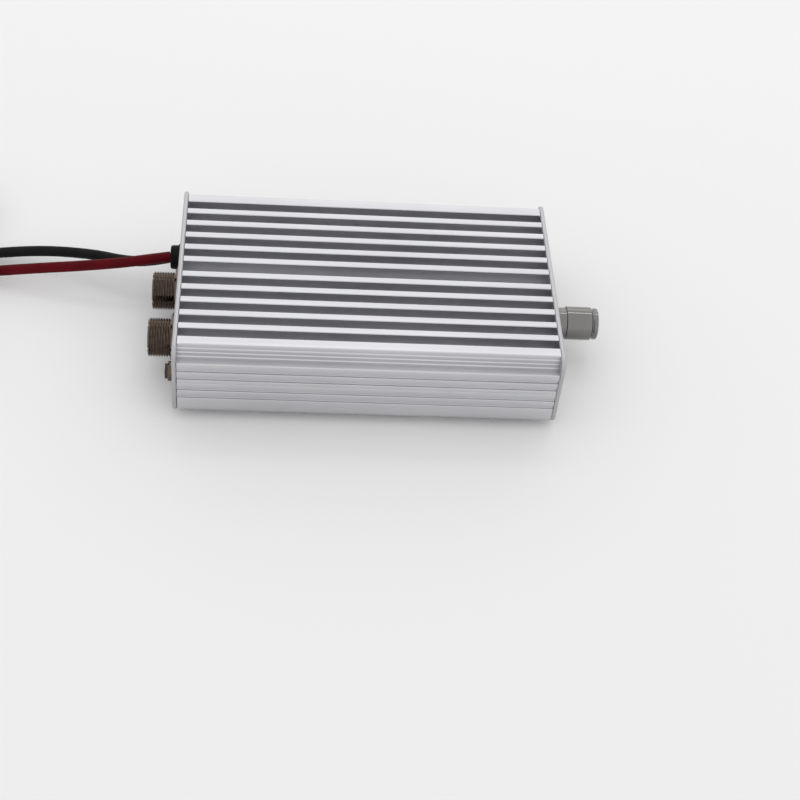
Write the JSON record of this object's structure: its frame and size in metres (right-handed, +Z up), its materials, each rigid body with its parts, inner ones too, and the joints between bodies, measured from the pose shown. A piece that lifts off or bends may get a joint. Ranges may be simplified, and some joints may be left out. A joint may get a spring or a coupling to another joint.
{
  "type": "hf linear amplifier",
  "caption": "Small finned aluminium radio amplifier with a turning band knob, a power rocker, threaded coax sockets and a pair of supply leads.",
  "frame": {"origin": "middle of the overall footprint without the leads, on the plane that the feet stand on", "axes": "+X out of the front panel along the knob, +Y across the case, +Z up"},
  "size_m": [0.3373, 0.1594, 0.038],
  "materials": {
    "anodised_aluminium": "satin",
    "panel_aluminium": "satin",
    "knob_aluminium": "turned",
    "nickel_plate": "polished",
    "zinc_steel": "satin",
    "black_steel": "satin",
    "black_rubber": "matte",
    "white_insulator": "satin",
    "gold_contact": "polished",
    "black_plastic": "satin",
    "red_insulation": "satin",
    "black_insulation": "satin",
    "tinned_copper": "satin",
    "lamp_resin": "clear",
    "circuit_board": "satin",
    "ferrite": "matte",
    "enamelled_wire": "gloss",
    "blue_plastic": "satin"
  },
  "bodies": {
    "chassis": {"antenna_socket_body": "nickel_plate", "antenna_socket_contact": "gold_contact", "antenna_socket_insulator": "white_insulator", "black_lead": "black_insulation", "black_lead_coil": "black_insulation", "black_lead_tail": "black_insulation", "black_terminal": "tinned_copper", "black_terminal_sleeve": "black_insulation", "board_screws": "zinc_steel", "board_standoffs": "nickel_plate", "bottom_shell": "anodised_aluminium", "bushing_nut": "nickel_plate", "bushing_washer": "zinc_steel", "cable_gland": "black_rubber", "changeover_relays": "black_plastic", "filter_cores": "ferrite", "filter_relays": "blue_plastic", "filter_windings": "enamelled_wire", "foot_screws": "zinc_steel", "front_panel": "panel_aluminium", "front_panel_screws": "black_steel", "indicator_lamps": "lamp_resin", "inner_leads": "red_insulation", "input_core": "ferrite", "input_winding": "enamelled_wire", "keying_jack": "black_plastic", "keying_jack_nut": "nickel_plate", "lamp_collars": "black_plastic", "main_board": "circuit_board", "output_core": "ferrite", "output_winding": "enamelled_wire", "power_transistors": "black_plastic", "radio_socket_body": "nickel_plate", "radio_socket_contact": "gold_contact", "radio_socket_insulator": "white_insulator", "rear_panel": "panel_aluminium", "rear_panel_screws": "black_steel", "red_lead": "red_insulation", "red_lead_coil": "red_insulation", "red_lead_tail": "red_insulation", "red_terminal": "tinned_copper", "red_terminal_sleeve": "red_insulation", "rocker_housing": "black_plastic", "rubber_feet": "black_rubber", "socket_nuts": "nickel_plate", "socket_washers": "nickel_plate", "supply_capacitors": "blue_plastic", "switch_contacts": "tinned_copper", "switch_deck": "black_plastic", "switch_housing": "zinc_steel", "top_shell": "anodised_aluminium", "transistor_pads": "white_insulator", "transistor_screws": "zinc_steel"},
    "band_selector": {"band_knob": "knob_aluminium", "knob_set_screw": "black_steel", "switch_shaft": "nickel_plate", "switch_rotor": "white_insulator", "detent_wheel": "white_insulator"},
    "rocker": {"power_rocker": "black_plastic"}
  },
  "joints": [
    {"name": "band_turn", "type": "hinge", "parent": "chassis", "child": "band_selector", "pos_m": [0.073, -0.0038, 0.017], "axis": [1, 0, 0], "range_deg": [-60, 60]},
    {"name": "rocker_tilt", "type": "hinge", "parent": "chassis", "child": "rocker", "pos_m": [0.0733, 0.029, 0.017], "axis": [0, 1, 0], "range_deg": [-11, 11]}
  ]
}
